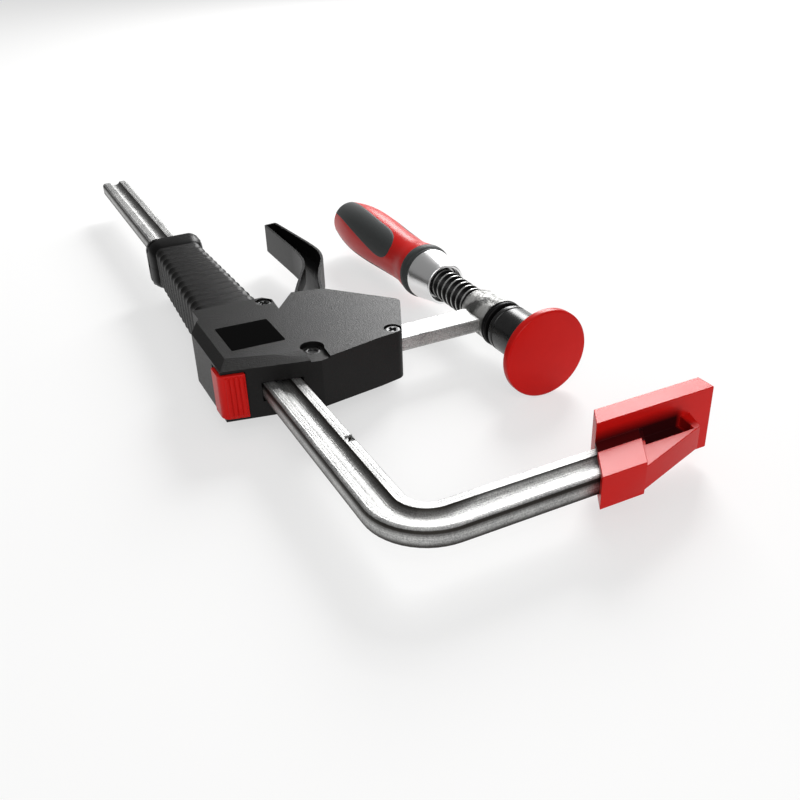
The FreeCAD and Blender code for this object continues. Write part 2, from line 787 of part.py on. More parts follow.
def make_socket():
    flare = socket_front + socket_flange_thick
    neck = flare + socket_flange_thick
    body = turned([(socket_front, 0), (socket_front, pad_radius - pad_lip), (flare, pad_radius - pad_lip),
                   (neck, socket_flare_radius), (neck + socket_flange_thick, socket_neck_radius),
                   (socket_rear, socket_neck_radius), (socket_rear, 0)])
    hollow = ball_radius + run_gap + liner_thick + run_gap
    mouth = ball_radius * socket_mouth_share
    throat_y = ball_y + math.sqrt(hollow * hollow - mouth * mouth)
    funnel = turned([(ball_y, 0), (ball_y, mouth), (throat_y, mouth), (socket_rear, socket_mouth_rear_radius),
                     (socket_rear + overrun, socket_mouth_rear_radius), (socket_rear + overrun, 0)])
    return body.cut(Part.makeSphere(hollow, V(0, ball_y, 0))).cut(funnel)


def make_pad_cap():
    rim = socket_front + socket_flange_thick
    cap = bar_y(pad_radius, opening, rim)
    cap = rounded(cap, pad_cap_round,
                  lambda edge: edge.Length > pad_radius and edge.BoundBox.YMax < opening + fit_gap)
    return cap.cut(bar_y(pad_radius - pad_lip + fit_gap / 2, socket_front, rim + overrun))


def handle_profile(inset):
    # Waist behind the ring, belly towards the end, rounded tip
    waist = handle_start + waist_share * handle_length
    belly = handle_start + belly_share * handle_length
    tip = handle_end - handle_tip_round
    start_radius = ring_radius - handle_shoulder - inset
    stations = [(start_radius, handle_start), (handle_waist_radius - inset, waist),
                ((handle_waist_radius + handle_belly_radius) / 2 - inset, (waist + belly) / 2),
                (handle_belly_radius - inset, belly), (handle_end_radius - inset, tip)]
    curve = Part.BSplineCurve()
    curve.interpolate([V(radius, y, 0) for radius, y in stations])
    crown = V(handle_crown_radius, handle_end - inset, 0)
    pole = V(0, handle_end - inset, 0)
    cap = Part.Arc(V(handle_end_radius - inset, tip, 0),
                   V(handle_end_radius * tip_radius_share - inset,
                     handle_end - handle_tip_round * tip_length_share - inset, 0), crown)
    foot = V(0, handle_start, 0)
    edges = [curve.toShape(), cap.toShape(), Part.LineSegment(crown, pole).toShape(),
             Part.LineSegment(pole, foot).toShape(),
             Part.LineSegment(foot, V(start_radius, handle_start, 0)).toShape()]
    return Part.Face(Part.Wire(edges)).revolve(V(0, 0, 0), V(0, 1, 0), 360)


def inlay_cutter():
    # A long tongue seen from the side: a long round end by the waist, a blunt end by the tip
    y0 = handle_start + inlay_start_share * handle_length
    y1 = handle_start + inlay_end_share * handle_length
    w = inlay_half_width
    v = w * inlay_end_width_share
    broad = y0 + inlay_round_length
    diagonal = 1 / math.sqrt(2)
    side_y, side_w = broad - inlay_round_length * diagonal, w * diagonal
    tongue = Part.BSplineCurve()
    tongue.interpolate([V(0, broad, -w), V(0, side_y, -side_w), V(0, y0, 0),
                        V(0, side_y, side_w), V(0, broad, w)])
    edges = [tongue.toShape(),
             Part.LineSegment(V(0, broad, w), V(0, y1, v)).toShape(),
             Part.LineSegment(V(0, y1, v), V(0, y1, -v)).toShape(),
             Part.LineSegment(V(0, y1, -v), V(0, broad, -w)).toShape()]
    return Part.Face(Part.Wire(edges)).extrude(V(handle_belly_radius + overrun, 0, 0))


def make_handle():
    outer = handle_profile(0.0)
    layer = outer.cut(handle_profile(inlay_depth))
    inlays = []
    for index in range(inlay_count):
        cutter = inlay_cutter()
        cutter.rotate(V(0, 0, 0), V(0, 1, 0), -inlay_turn - index * 360 / inlay_count)
        inlays.append(layer.common(cutter))
    core = outer.cut(Part.makeCompound(inlays))
    core = core.cut(bar_y(screw_radius, handle_start - overrun, screw_end))
    return core, Part.makeCompound(inlays)


def make_handle_ring():
    return turned([(ring_start, screw_radius), (ring_start, ring_radius - ring_ease),
                   (ring_start + ring_ease, ring_radius), (handle_start - ring_ease, ring_radius),
                   (handle_start, ring_radius - ring_ease), (handle_start, screw_radius)])


def make_ferrule():
    cup = ferrule_front + ferrule_cup_depth
    inner = ferrule_small_radius - ferrule_wall
    return turned([(ferrule_front, inner), (ferrule_front, ferrule_small_radius),
                   (ferrule_front + ferrule_lip, ferrule_small_radius),
                   (ring_start - ferrule_lip, ferrule_big_radius), (ring_start, ferrule_big_radius),
                   (ring_start, screw_radius), (cup, screw_radius), (cup, inner)])


upper_shell, lower_shell = make_shells()
handle_core, handle_inlays = make_handle()
save("rail_bar", make_rail())
save("jaw_cap", make_jaw_cap())
save("upper_shell", upper_shell)
save("lower_shell", lower_shell)
save("sliding_arm", make_sliding_arm())
save("boss_ring", make_boss_ring())
save("lever_pin", bar_z(pin_radius, pivot_x, pivot_y, -pin_half_length, pin_half_length))
save("brake_anchor", bar_z(anchor_radius, anchor_x, anchor_y, -anchor_half_length, anchor_top()))
save("shell_screws", make_shell_screws())
save("lever", make_lever())
save("drive_plates", make_drive_plates())
save("drive_spring", make_spring(spring_mean_radius, spring_wire, drive_spring_turns,
                                 plates_rear + spring_gap, chamber_end, rail_x))
save("brake_plate", make_brake_plate())
save("brake_spring", make_spring(brake_spring_radius, brake_spring_wire, brake_spring_turns,
                                 brake_spring_front, head_front + brake_spring_pocket,
                                 rail_x - brake_spring_reach))
save("release_button", make_button())
save("spindle_screw", make_spindle())
save("thrust_pin", make_thrust_pin())
save("swivel_liner", make_liner())
save("swivel_socket", make_socket())
save("pad_cap", make_pad_cap())
save("handle_core", handle_core)
save("handle_inlays", handle_inlays)
save("handle_ring", make_handle_ring())
save("ferrule", make_ferrule())
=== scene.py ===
import math
import bmesh
import bpy
from mathutils import Matrix, Vector


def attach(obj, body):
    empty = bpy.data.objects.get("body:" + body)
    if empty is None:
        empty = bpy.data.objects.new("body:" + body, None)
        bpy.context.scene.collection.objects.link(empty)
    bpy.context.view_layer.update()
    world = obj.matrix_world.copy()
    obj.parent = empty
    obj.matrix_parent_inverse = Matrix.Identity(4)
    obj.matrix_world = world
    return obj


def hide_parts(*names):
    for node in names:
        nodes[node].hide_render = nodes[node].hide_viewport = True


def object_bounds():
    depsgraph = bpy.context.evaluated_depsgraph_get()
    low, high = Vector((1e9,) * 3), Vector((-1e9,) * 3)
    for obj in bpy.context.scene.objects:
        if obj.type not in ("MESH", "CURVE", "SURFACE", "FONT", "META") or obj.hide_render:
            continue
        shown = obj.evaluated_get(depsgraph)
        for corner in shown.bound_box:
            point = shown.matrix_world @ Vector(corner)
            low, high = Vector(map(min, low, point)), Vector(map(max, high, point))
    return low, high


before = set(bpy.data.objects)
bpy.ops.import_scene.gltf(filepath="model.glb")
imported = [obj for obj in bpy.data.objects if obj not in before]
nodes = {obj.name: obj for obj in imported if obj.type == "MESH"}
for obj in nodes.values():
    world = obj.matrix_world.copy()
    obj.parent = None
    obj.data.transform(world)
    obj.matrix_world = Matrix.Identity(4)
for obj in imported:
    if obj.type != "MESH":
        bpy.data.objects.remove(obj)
cadBox = [list(corner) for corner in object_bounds()]
mm = 0.001

# Camera, at the photograph's view
camera = {"eye": (-208.4, -224.4, 181.6), "right": (0.892286, -0.450240, -0.033316),
          "down": (-0.250206, -0.431735, -0.866603), "forward": (0.375796, 0.781594, -0.497884),
          "focal": 932.5, "frame": 800, "sensor": 36.0}


def placeCamera():
    data = bpy.data.cameras.new("camera")
    data.sensor_width = camera["sensor"]
    data.lens = camera["focal"] / camera["frame"] * camera["sensor"]
    data.clip_start = 0.01
    eye = bpy.data.objects.new("camera", data)
    bpy.context.scene.collection.objects.link(eye)
    turn = Matrix((camera["right"], [-value for value in camera["down"]], [-value for value in camera["forward"]]))
    eye.matrix_world = Matrix.Translation(Vector(camera["eye"]) * mm) @ turn.transposed().to_4x4()
    bpy.context.scene.camera = eye


# Studio: pale floor, soft lamps, pale world
studio = {"floorDrop": 0.0002, "floorSize": 12.0, "floorColor": (0.88, 0.878, 0.872, 1.0), "floorHaze": (3.0, 2.0),
          "floorRoughness": (0.85, 0.05), "floorGlow": 0.6, "worldLevel": 0.26,
          "lamps": [("keyLamp", (0.58, 0.72, 0.78), (-0.03, 0.1, 0.0), (0.34, 0.34), 7.5),
                    ("backPanel", (0.75, 1.08, 0.60), (-0.05, 0.06, 0.0), (0.72, 0.5), 13.5),
                    ("topLamp", (-0.05, 0.05, 1.2), (-0.05, 0.1, 0.0), (0.9, 0.9), 0.8),
                    ("frontLamp", (-0.45, -0.95, 0.75), (-0.03, 0.05, 0.0), (0.9, 0.9), 7.5)]}


def lampAt(name, place, target, size, power):
    data = bpy.data.lights.new(name, "AREA")
    data.shape = "RECTANGLE"
    data.size, data.size_y = size
    data.energy = power
    lamp = bpy.data.objects.new(name, data)
    bpy.context.scene.collection.objects.link(lamp)
    lamp.location = place
    lamp.rotation_euler = (Vector(target) - Vector(place)).to_track_quat("-Z", "Y").to_euler()


def buildStudio():
    mesh = bmesh.new()
    bmesh.ops.create_grid(mesh, x_segments=1, y_segments=1, size=studio["floorSize"] / 2)
    bmesh.ops.translate(mesh, verts=mesh.verts, vec=(0, 0, cadBox[0][2] - studio["floorDrop"]))
    floor = asObject(mesh, "floor")
    floor.data.materials.append(finishes["floorPaper"])
    for lamp in studio["lamps"]:
        lampAt(*lamp)
    world = bpy.data.worlds.new("studio")
    bpy.context.scene.world = world
    world.use_nodes = True
    back = world.node_tree.nodes["Background"]
    back.inputs["Color"].default_value = (1, 1, 1, 1)
    back.inputs["Strength"].default_value = studio["worldLevel"]
    bpy.context.scene.view_settings.view_transform = "Standard"


def asObject(mesh, name, smoothAngle=None):
    data = bpy.data.meshes.new(name)
    mesh.to_mesh(data)
    mesh.free()
    piece = bpy.data.objects.new(name, data)
    bpy.context.scene.collection.objects.link(piece)
    if smoothAngle is not None:
        data.shade_smooth()
        data.set_sharp_from_angle(angle=math.radians(smoothAngle))
    return piece


# Shader maths: a Value wraps a socket, and Python's operators add the Math nodes
class Value:
    def __init__(self, finish, socket):
        self.finish = finish
        self.socket = socket

    def maths(self, operation, *values):
        return self.finish.maths(operation, *values)

    def __add__(self, other): return self.maths("ADD", self, other)
    def __radd__(self, other): return self.maths("ADD", other, self)
    def __sub__(self, other): return self.maths("SUBTRACT", self, other)
    def __rsub__(self, other): return self.maths("SUBTRACT", other, self)
    def __mul__(self, other): return self.maths("MULTIPLY", self, other)
    def __rmul__(self, other): return self.maths("MULTIPLY", other, self)
    def __truediv__(self, other): return self.maths("DIVIDE", self, other)
    def __gt__(self, other): return self.maths("GREATER_THAN", self, other)
    def __lt__(self, other): return self.maths("LESS_THAN", self, other)
    def __abs__(self): return self.maths("ABSOLUTE", self)
    def clamped(self): return self.maths("MINIMUM", self.maths("MAXIMUM", self, 0.0), 1.0)


class Finish:
    def __init__(self, name):
        self.material = bpy.data.materials.new(name)
        self.material.use_nodes = True
        self.tree = self.material.node_tree
        self.shader = self.tree.nodes["Principled BSDF"]
        self.place = self.node("TexCoord").outputs["Object"]

    def node(self, kind, settings=None, sockets=None):
        made = self.tree.nodes.new("ShaderNode" + kind)
        for key, value in (settings or {}).items():
            if key == "stops":
                ramp = made.color_ramp.elements
                while len(ramp) < len(value):
                    ramp.new(0.5)
                for element, (position, color) in zip(ramp, value):
                    element.position = position
                    element.color = color
            else:
                setattr(made, key, value)
        for key, value in (sockets or {}).items():
            self.put(made.inputs[key], value)
        return made

    def put(self, entry, value):
        if isinstance(value, Value):
            value = value.socket
        if isinstance(value, bpy.types.NodeSocket):
            self.tree.links.new(value, entry)
        else:
            entry.default_value = value

    def value(self, socket):
        return Value(self, socket)

    def maths(self, operation, *values):
        return self.value(self.node("Math", {"operation": operation}, dict(enumerate(values))).outputs[0])

    def noise(self, scale, detail=2.0, roughness=0.5, place=None):
        place = self.place if place is None else place
        made = self.node("TexNoise", {}, {"Vector": place, "Scale": scale, "Detail": detail, "Roughness": roughness})
        return self.value(made.outputs["Fac"])

    def axis(self, letter):
        split = self.node("SeparateXYZ", {}, {"Vector": self.place})
        return self.value(split.outputs[letter])

    def blend(self, factor, first, second):
        mix = self.node("Mix", {"data_type": "RGBA"}, {"Factor": factor})
        self.put(mix.inputs[6], first)
        self.put(mix.inputs[7], second)
        return mix.outputs[2]

    def bump(self, height, strength, distance):
        self.put(self.shader.inputs["Normal"],
                 self.node("Bump", {}, {"Strength": strength, "Distance": distance, "Height": height}).outputs[0])

    def wear(self, **sockets):
        for key, value in sockets.items():
            self.put(self.shader.inputs[key.replace("_", " ")], value)


# Finishes: colours from dark to light, noises as (scale, detail, roughness)
finishes = {}
plainFinishes = {
    "blackPlastic": {"grain": (1500.0, 3.0, 0.6), "cloud": (40.0, 3.0), "roughness": (0.33, 0.18), "specular": 0.17,
                     "colors": [(0.0050, 0.0048, 0.0047, 1), (0.0092, 0.0088, 0.0085, 1)], "bump": (0.4, 0.0003)},
    "leverPlastic": {"grain": (1900.0, 2.0), "roughness": (0.3, 0.12), "specular": 0.12,
                     "colors": [(0.0048, 0.0046, 0.0046, 1)], "bump": (0.12, 0.0002)},
    "softGrey": {"grain": (1500.0, 3.0), "roughness": (0.5, 0.15), "specular": 0.25,
                 "colors": [(0.034, 0.037, 0.037, 1), (0.052, 0.056, 0.056, 1)], "bump": (0.2, 0.0002)},
    "blackOxide": {"grain": (260.0, 3.0), "roughness": (0.2, 0.16), "metallic": 0.4,
                   "colors": [(0.006, 0.006, 0.006, 1), (0.018, 0.018, 0.018, 1)], "bump": (0.1, 0.0002)},
    "chrome": {"grain": (300.0, 2.0), "roughness": (0.27, 0.08), "metallic": 1.0,
               "colors": [(0.88, 0.88, 0.88, 1)], "bump": (0.05, 0.0002)},
    "springSteel": {"grain": (500.0, 2.0), "roughness": (0.28, 0.15), "metallic": 1.0,
                    "colors": [(0.36, 0.36, 0.37, 1)]},
    "linerNylon": {"grain": (200.0, 2.0), "roughness": (0.45, 0.1), "colors": [(0.55, 0.53, 0.47, 1)]},
    "glossPlate": {"grain": (160.0, 3.0), "roughness": (0.12, 0.08), "specular": 0.001,
                   "colors": [(0.004, 0.004, 0.004, 1)]}}


def plainFinish(name):
    # the grain drives sheen and relief; the cloud, or else the grain, drives the colour
    row = plainFinishes[name]
    f = Finish(name)
    grain = f.noise(*row["grain"])
    cloud = f.noise(*row["cloud"]) if "cloud" in row else grain
    colors = row["colors"]
    base, share = row["roughness"]
    f.wear(Base_Color=f.blend(cloud, *colors) if len(colors) > 1 else colors[0], Metallic=row.get("metallic", 0.0),
           Roughness=base + grain * share, Specular_IOR_Level=row.get("specular", 0.5))
    if "bump" in row:
        f.bump(grain, *row["bump"])
    return f.material


# zinc tones, and a dark colour used as painted shade on the bent rail
zinc = {"speckle": (1700.0, 3.0, 0.75), "cloud": (90.0, 4.0), "lines": (2600.0, 2.0), "drift": 0.0006,
        "bloom": (2.1, 0.9, 0.9), "dark": (0.2, 0.202, 0.205, 1), "light": (0.68, 0.68, 0.665, 1),
        "paintedShade": (0.04, 0.037, 0.033, 1), "roughness": (0.34, 0.2, 0.12), "relief": (0.8, 0.7, 0.4),
        "bump": (0.6, 0.0004)}
# the bent bar's middle line and where painted shade sits on it; groove values are for the leg and what the bent arm has
# less
railPath = {"bendX": -92.0, "bendY": -0.40, "radius": 16.0, "turn": 12.0, "grooveFrom": (0.6, 3.1),
            "grooveOver": (3.6, 2.9), "ridge": -3.35, "side": (7.3, 0.3), "height": (0.7, 1.8),
            "stake": (-103.3, 41.2), "stakeReach": (2.6, 0.625), "stakeTop": (3.85, 0.125), "stakeFoot": 1.5}


def zincFinish(name, bent):
    # fine speckle, cloudy bloom, and rolled lines that follow the bar
    f = Finish(name)
    x, y, z = [f.axis(letter) for letter in "XYZ"]
    speckle = f.noise(*zinc["speckle"])
    cloud = f.noise(*zinc["cloud"])
    across = y
    if bent:
        left = f.maths("MAXIMUM", railPath["bendX"] * mm - x, 0.0)
        front = f.maths("MAXIMUM", railPath["bendY"] * mm - y, 0.0)
        across = f.maths("SQRT", left * left + front * front) - railPath["radius"] * mm
    along = f.node("CombineXYZ", {}, {"X": across, "Y": z, "Z": cloud * zinc["drift"]}).outputs[0]
    lines = f.noise(*zinc["lines"], place=along)
    speckleShare, cloudShare, lineShare = zinc["bloom"]
    bloom = (speckle - 0.5) * speckleShare + (cloud - 0.5) * cloudShare + (lines - 0.5) * lineShare + 0.5
    colour = f.blend(bloom.clamped(), zinc["dark"], zinc["light"])
    # painted shade darkens the bent rail's groove, its outer edges and the stake's recess
    if bent:
        colour = f.blend(railPaintedShade(f, x, y, z, across), colour, zinc["paintedShade"])
    base, speckleShare, cloudShare = zinc["roughness"]
    f.wear(Base_Color=colour, Metallic=1.0, Roughness=base + speckle * speckleShare + cloud * cloudShare)
    speckleShare, lineShare, cloudShare = zinc["relief"]
    f.bump(speckle * speckleShare + lines * lineShare + cloud * cloudShare, *zinc["bump"])
    return f.material


def railPaintedShade(f, x, y, z, across):
    # painted shade: in the groove, wide on the leg and narrow on the arm, then along the outer edges and round the
    # stake
    bend = ((x - railPath["bendX"] * mm) / (railPath["turn"] * mm)).clamped()
    start, over = [legSize * mm - bend * (less * mm)
                   for legSize, less in (railPath["grooveFrom"], railPath["grooveOver"])]
    groove = ((start - across) / over).clamped() * (across > railPath["ridge"] * mm)
    (side, sideOver), (low, lowOver) = railPath["side"], railPath["height"]
    edge = ((abs(across) - side * mm) / (sideOver * mm)).clamped() * ((abs(z) - low * mm) / (lowOver * mm)).clamped()
    leftOf, behind = [spot - value * mm for spot, value in zip((x, y), railPath["stake"])]
    (reach, reachOver), (top, topOver) = railPath["stakeReach"], railPath["stakeTop"]
    near = (reach * mm - f.maths("SQRT", leftOf * leftOf + behind * behind)) / (reachOver * mm)
    stake = near.clamped() * ((top * mm - z) / (topOver * mm)).clamped() * (z > railPath["stakeFoot"] * mm)
    return f.maths("MAXIMUM", groove, f.maths("MAXIMUM", edge, stake))


cast = {"pits": (520.0, 4.0, 0.7), "cloud": (150.0, 3.0), "wornFrom": 0.42, "wornShare": 6.0, "metallic": 0.9,
        "dark": (0.13, 0.13, 0.125, 1), "light": (0.62, 0.615, 0.60, 1), "roughness": (0.34, 0.22),
        "bump": (0.6, 0.0008)}


def castFinish():
    # rough casting: pits, and clouds that are rubbed bright
    f = Finish("castSteel")
    pits = f.noise(*cast["pits"])
    cloud = f.noise(*cast["cloud"])
    worn = ((cloud - cast["wornFrom"]) * cast["wornShare"]).clamped()
    base, share = cast["roughness"]
    f.wear(Base_Color=f.blend(worn, cast["dark"], cast["light"]), Metallic=cast["metallic"],
           Roughness=base + pits * share)
    f.bump(pits + cloud, *cast["bump"])
    return f.material


# red moulding tones, and a dark red used as painted shade behind the jaw's plate
red = {"haze": (70.0, 4.0), "grain": (1800.0, 2.0), "dark": (0.52, 0.005, 0.004, 1), "light": (0.62, 0.010, 0.007, 1),
       "paintedShade": (0.035, 0.003, 0.004, 1), "roughness": (0.27, 0.1), "specular": 0.13, "hazeRelief": 2.0,
       "bump": (0.07, 0.0003)}
# where painted shade sits in the corner behind the jaw's plate, fading out to the right
jawPaintedShade = {"top": 10.0, "over": 5.0, "front": -8.2, "back": -14.9, "right": 9.0, "fade": 3.0}


def redFinish(name, withPaintedShade):
    # glossy moulding; the jaw cap gets painted shade in the corner behind its plate
    f = Finish(name)
    haze = f.noise(*red["haze"])
    grain = f.noise(*red["grain"])
    colour = f.blend(haze, red["dark"], red["light"])
    # painted shade in the corner behind the plate
    if withPaintedShade:
        x, y, z = f.axis("X"), f.axis("Y"), abs(f.axis("Z"))
        depth = ((jawPaintedShade["top"] * mm - z) / (jawPaintedShade["over"] * mm)).clamped()
        corner = (y < jawPaintedShade["front"] * mm) * (y > jawPaintedShade["back"] * mm)
        side = ((jawPaintedShade["right"] * mm - x) / (jawPaintedShade["fade"] * mm)).clamped()
        colour = f.blend(depth * corner * side, colour, red["paintedShade"])
    base, share = red["roughness"]
    f.wear(Base_Color=colour, Roughness=base + haze * share, Specular_IOR_Level=red["specular"])
    f.bump(grain + haze * red["hazeRelief"], *red["bump"])
    return f.material


thread = {"rubFrom": 7.15, "rubOver": 0.3, "rub": (700.0, 3.0), "rubShare": (0.55, 0.6), "metallic": 0.85,
          "dark": (0.008, 0.008, 0.008, 1), "light": (0.55, 0.55, 0.54, 1), "roughness": (0.34, 0.08),
          "bump": (0.15, 0.0002)}


def threadFinish():
    # dark rolled thread, worn bright and with a painted highlight on its crests
    f = Finish("threadSteel")
    x, z = f.axis("X"), f.axis("Z")
    rub = f.noise(*thread["rub"])
    height = (f.maths("SQRT", x * x + z * z) - thread["rubFrom"] * mm) / (thread["rubOver"] * mm)
    least, share = thread["rubShare"]
    # crests are lighter: partly wear, partly a painted highlight
    crestWearAndHighlight = height.clamped() * (least + rub * share)
    base, less = thread["roughness"]
    f.wear(Base_Color=f.blend(crestWearAndHighlight.clamped(), thread["dark"], thread["light"]), Metallic=thread["metallic"],
           Roughness=base - crestWearAndHighlight * less)
    f.bump(rub, *thread["bump"])
    return f.material


def floorFinish():
    # paper that the lamps light, with a share of plain white for what the eye and the reflections see
    f = Finish("floorPaper")
    base, share = studio["floorRoughness"]
    f.wear(Base_Color=studio["floorColor"], Roughness=base + f.noise(*studio["floorHaze"]) * share,
           Specular_IOR_Level=0.0)
    ray = f.node("LightPath").outputs
    mirrored = f.maths("MAXIMUM", ray["Is Glossy Ray"], ray["Is Transmission Ray"])
    seen = f.maths("MAXIMUM", ray["Is Camera Ray"], mirrored)
    glow = f.node("Emission", {}, {"Strength": 1.0})
    mixed = f.node("MixShader", {}, {0: seen * studio["floorGlow"], 1: f.shader.outputs[0], 2: glow.outputs[0]})
    f.put(f.tree.nodes["Material Output"].inputs["Surface"], mixed.outputs[0])
    return f.material


finishes.update({name: plainFinish(name) for name in plainFinishes})
finishes.update(zinc=zincFinish("galvanisedSteel", False), rail=zincFinish("galvanisedRail", True), cast=castFinish(),
                redPlastic=redFinish("redPlastic", False), redJaw=redFinish("redJaw", True), thread=threadFinish(),
                floorPaper=floorFinish())
nodeFinish = {"rail_bar": "rail", "lever_pin": "springSteel", "drive_plates": "springSteel",
              "drive_spring": "springSteel", "brake_plate": "springSteel", "brake_spring": "springSteel",
              "thrust_pin": "springSteel", "swivel_liner": "linerNylon"}
# angles under which neighbouring faces shade as one
smooth = {"facets": 9, "usual": 35, "sleeve": 50, "round": 60, "inlay": 70}


def dressNodes():
    for name, finish in nodeFinish.items():
        data = nodes[name].data
        data.materials.clear()
        data.materials.append(finishes[finish])
    print("nodes dressed")


# Shared steps: from a bmesh to a piece in its place
def settle(mesh, weld=0.01):
    bmesh.ops.remove_doubles(mesh, verts=mesh.verts, dist=weld * mm)
    bmesh.ops.recalc_face_normals(mesh, faces=mesh.faces)


def seat(mesh, name, finish, body, stoodFor=(), smoothAngle=smooth["usual"]):
    piece = asObject(mesh, name, smoothAngle)
    piece.data.materials.append(finishes[finish])
    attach(piece, body)
    if stoodFor:
        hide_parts(*stoodFor)
    return piece


def soften(piece, width, segments=3, angle=38):
    bevel = piece.modifiers.new("edges", "BEVEL")
    bevel.width = width * mm
    bevel.segments = segments
    bevel.limit_method = "ANGLE"
    bevel.angle_limit = math.radians(angle)
    bevel.harden_normals = False
    piece.modifiers.new("shading", "WEIGHTED_NORMAL").weight = 90


def turned(profile, closed=False, steps=72):
    # profile of (place along Y, radius, corner round), spun round the spindle axis
    mesh = bmesh.new()
    line = [mesh.verts.new((radius * mm, place * mm, 0)) for place, radius, rounding in profile]
    for pair in zip(line, line[1:] + (line[:1] if closed else [])):
        mesh.edges.new(pair)
    for vertex, (place, radius, rounding) in zip(line, profile):
        if rounding:
            bmesh.ops.bevel(mesh, geom=[vertex], offset=rounding * mm, segments=4, profile=0.5,
                            affect="VERTICES", material=-1)
    bmesh.ops.spin(mesh, geom=list(mesh.verts) + list(mesh.edges), cent=(0, 0, 0), axis=(0, 1, 0),
                   angle=2 * math.pi, steps=steps, use_merge=True)
    settle(mesh)
    return mesh


def outlineFace(mesh, outline, z):
    # a flat outline of (x, y, corner round) at height z, its corners rounded
    corners = [mesh.verts.new((x * mm, y * mm, z * mm)) for x, y, rounding in outline]
    mesh.faces.new(corners)
    for corner, (x, y, rounding) in zip(corners, outline):
        if rounding:
            bmesh.ops.bevel(mesh, geom=[corner], offset=rounding * mm, segments=6, profile=0.5,
                            affect="VERTICES", material=-1)
    mesh.faces.ensure_lookup_table()
    return mesh.faces[0]


def raiseFace(mesh, face, height):
    # extrudes a face along Z and gives the new face
    made = bmesh.ops.extrude_face_region(mesh, geom=[face])["geom"]
    bmesh.ops.translate(mesh, verts=[item for item in made if isinstance(item, bmesh.types.BMVert)],
                        vec=(0, 0, height * mm))
    return [item for item in made if isinstance(item, bmesh.types.BMFace)][0]


def cadCopy(name, weld=0.004, flat=0.8):
    # a node's mesh without its flat triangles' inner edges
    mesh = bmesh.new()
    mesh.from_mesh(nodes[name].data)
    bmesh.ops.remove_doubles(mesh, verts=mesh.verts, dist=weld * mm)
    bmesh.ops.dissolve_limit(mesh, angle_limit=math.radians(flat), verts=mesh.verts, edges=mesh.edges)
    return mesh


def cutAt(mesh, place, normal, keepBelow=True):
    cut = bmesh.ops.bisect_plane(mesh, geom=list(mesh.verts) + list(mesh.edges) + list(mesh.faces),
                                 plane_co=Vector(place) * mm, plane_no=normal, clear_outer=keepBelow,
                                 clear_inner=not keepBelow)["geom_cut"]
    rim = [item for item in cut if isinstance(item, bmesh.types.BMEdge)]
    bmesh.ops.triangle_fill(mesh, use_beauty=True, edges=rim, normal=normal)


# Spindle: rolled thread, neck and ball
spindle = {"crest": 7.5, "root": 5.5, "pitch": 4.5, "start": 97.1, "end": 172.0, "turnSteps": 48, "turns": 20,
           "leadTurns": 2, "trim": 1.0,
           "wave": [(0.0, 0.0), (0.2, 0.0), (0.3, 0.1), (0.38, 0.4), (0.45, 0.78), (0.51, 0.95), (0.57, 1.0),
                    (0.63, 1.0), (0.69, 0.95), (0.75, 0.78), (0.82, 0.4), (0.9, 0.1), (1.0, 0.0)],
           "neck": [(80.0, 0, 0), (80.0, 4.2, 0), (94.6, 4.2, 0.8), (97.1, 6.6, 0.6), (98.4, 7.4, 0.5),
                    (99.6, 7.4, 0.4), (99.6, 0, 0)],
           "ball": (80.0, 6.5), "ballSteps": (48, 24)}


def buildSpindle():
    mesh = bmesh.new()
    height = spindle["crest"] - spindle["root"]
    first = spindle["start"] - spindle["leadTurns"] * spindle["pitch"]
    line = [mesh.verts.new(((spindle["root"] + rise * height) * mm, (first + share * spindle["pitch"]) * mm, 0))
            for share, rise in spindle["wave"]]
    for pair in zip(line, line[1:]):
        mesh.edges.new(pair)
    steps = spindle["turnSteps"] * spindle["turns"]
    bmesh.ops.spin(mesh, geom=list(mesh.verts) + list(mesh.edges), cent=(0, 0, 0), axis=(0, 1, 0),
                   dvec=(0, spindle["pitch"] * spindle["turns"] / steps * mm, 0),
                   angle=2 * math.pi * spindle["turns"], steps=steps, use_merge=False)
    settle(mesh, weld=0.02)
    cutAt(mesh, (0, spindle["start"] + spindle["trim"], 0), (0, 1, 0), keepBelow=False)
    cutAt(mesh, (0, spindle["end"], 0), (0, 1, 0))
    settle(mesh, weld=0.005)
    seat(mesh, "spindleThread", "thread", "spindle", ["spindle_screw"], smoothAngle=smooth["sleeve"])
    mesh = turned(spindle["neck"])
    place, radius = spindle["ball"]
    columns, rows = spindle["ballSteps"]
    ball = bmesh.ops.create_uvsphere(mesh, u_segments=columns, v_segments=rows, radius=radius * mm)
    bmesh.ops.translate(mesh, verts=ball["verts"], vec=(0, place * mm, 0))
    seat(mesh, "spindleNeck", "blackOxide", "spindle")


# Ferrule, ring and handle behind the thread
ferrule = {"profile": [(151.6, 8.8, 0.3), (151.6, 10.2, 0.6), (153.6, 10.35, 0.8), (166.8, 12.9, 0.9),
                       (168.5, 12.9, 0.5), (168.5, 7.7, 0), (157.6, 7.7, 0), (157.6, 8.8, 0.4)]}
gripRing = {"profile": [(168.6, 7.7, 0), (168.6, 12.9, 0.5), (169.6, 13.2, 0.4), (170.1, 12.9, 0.2), (170.6, 13.4, 0.4),
                        (171.8, 13.9, 0.6), (174.4, 13.9, 0.8), (175.6, 13.3, 0.3), (175.6, 7.7, 0)]}
handle = {"start": 175.6, "end": 270.6, "startRadius": 13.3, "waist": (188.0, 12.0), "belly": (238.3, 13.9),
          "tip": (265.2, 10.9), "crown": 2.0, "tipPower": 2.4, "stations": 60, "crowding": 1.6, "steps": 96}
inlay = {"count": 3, "turn": (146.0, 112.0), "start": 194.0, "end": 268.8, "halfWidth": 10.4, "endWidth": 7.0,
         "round": 17.0, "across": 20, "along": 60, "crowding": 1.5, "proud": 0.14, "sink": 0.35, "roll": 0.9,
         "thick": 0.7}


def easedShare(share):
    return (1 - math.cos(math.pi * share)) / 2


